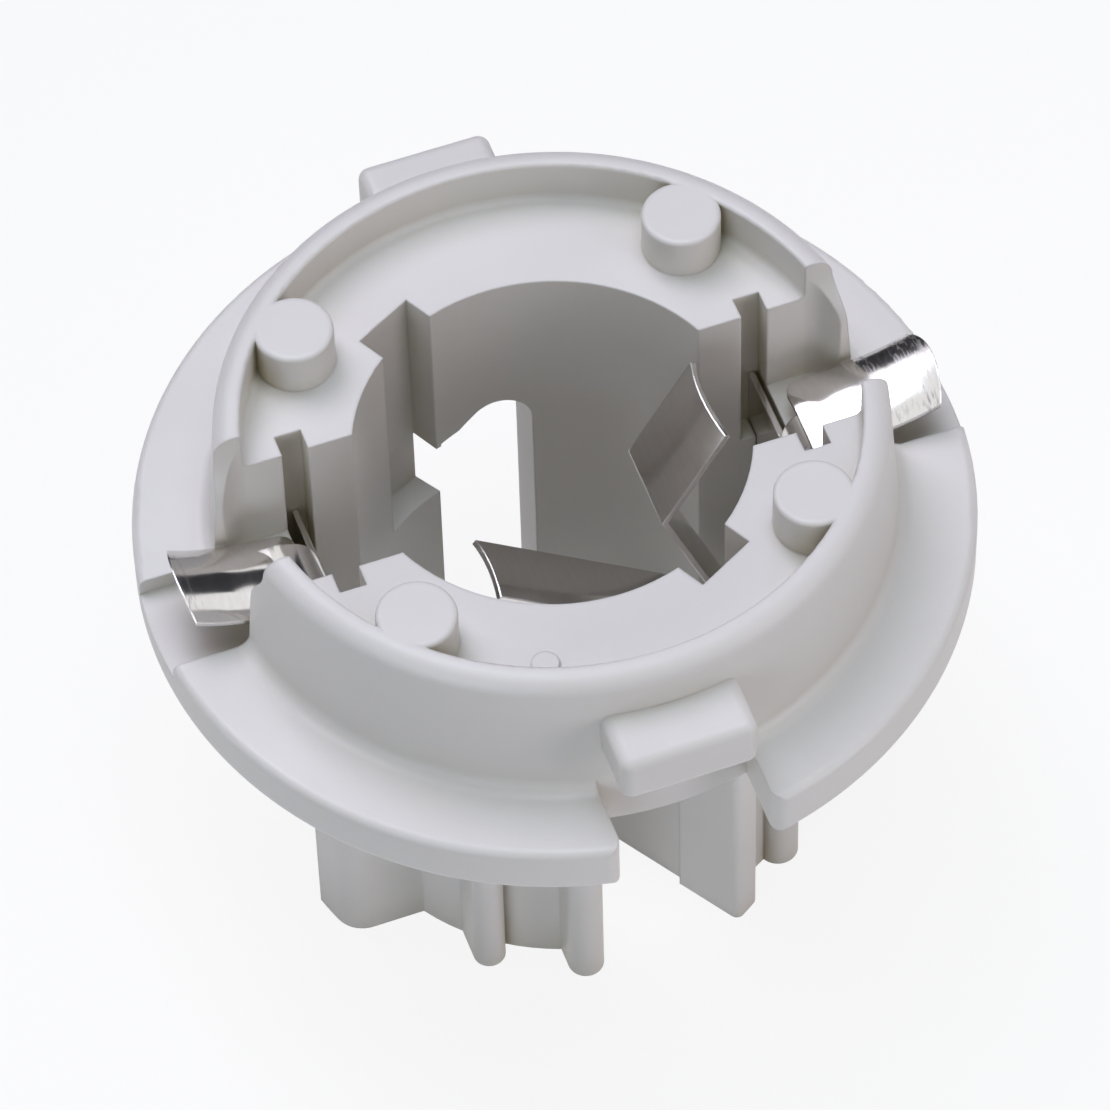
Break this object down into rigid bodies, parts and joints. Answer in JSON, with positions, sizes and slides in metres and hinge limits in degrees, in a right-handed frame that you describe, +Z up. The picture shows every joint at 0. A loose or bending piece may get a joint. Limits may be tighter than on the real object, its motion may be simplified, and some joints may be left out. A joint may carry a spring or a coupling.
{
  "type": "lamp holder",
  "caption": "Round flanged carrier for a bayonet bulb, with a collar, twist lugs, entry notches, side windows, and sprung side and base contacts folded from sheet.",
  "frame": {"origin": "centre of the bulb bore, at the height of the lowest faces of the tube and ribs", "axes": "+Z up along the bore, out of the side the bulb goes in; X along the channel, with the side contact at +X and the base contact at -X; the twist lugs are at +Y and -Y"},
  "size_m": [0.0336, 0.0328, 0.0244],
  "materials": {
    "white_plastic": "moulded white plastic, satin, slightly translucent",
    "bright_metal": "bright plated spring strip with fine drawing lines"
  },
  "bodies": {
    "root": {"holder_body": "white_plastic", "side_contact": "bright_metal", "base_contact": "bright_metal"}
  },
  "joints": []
}
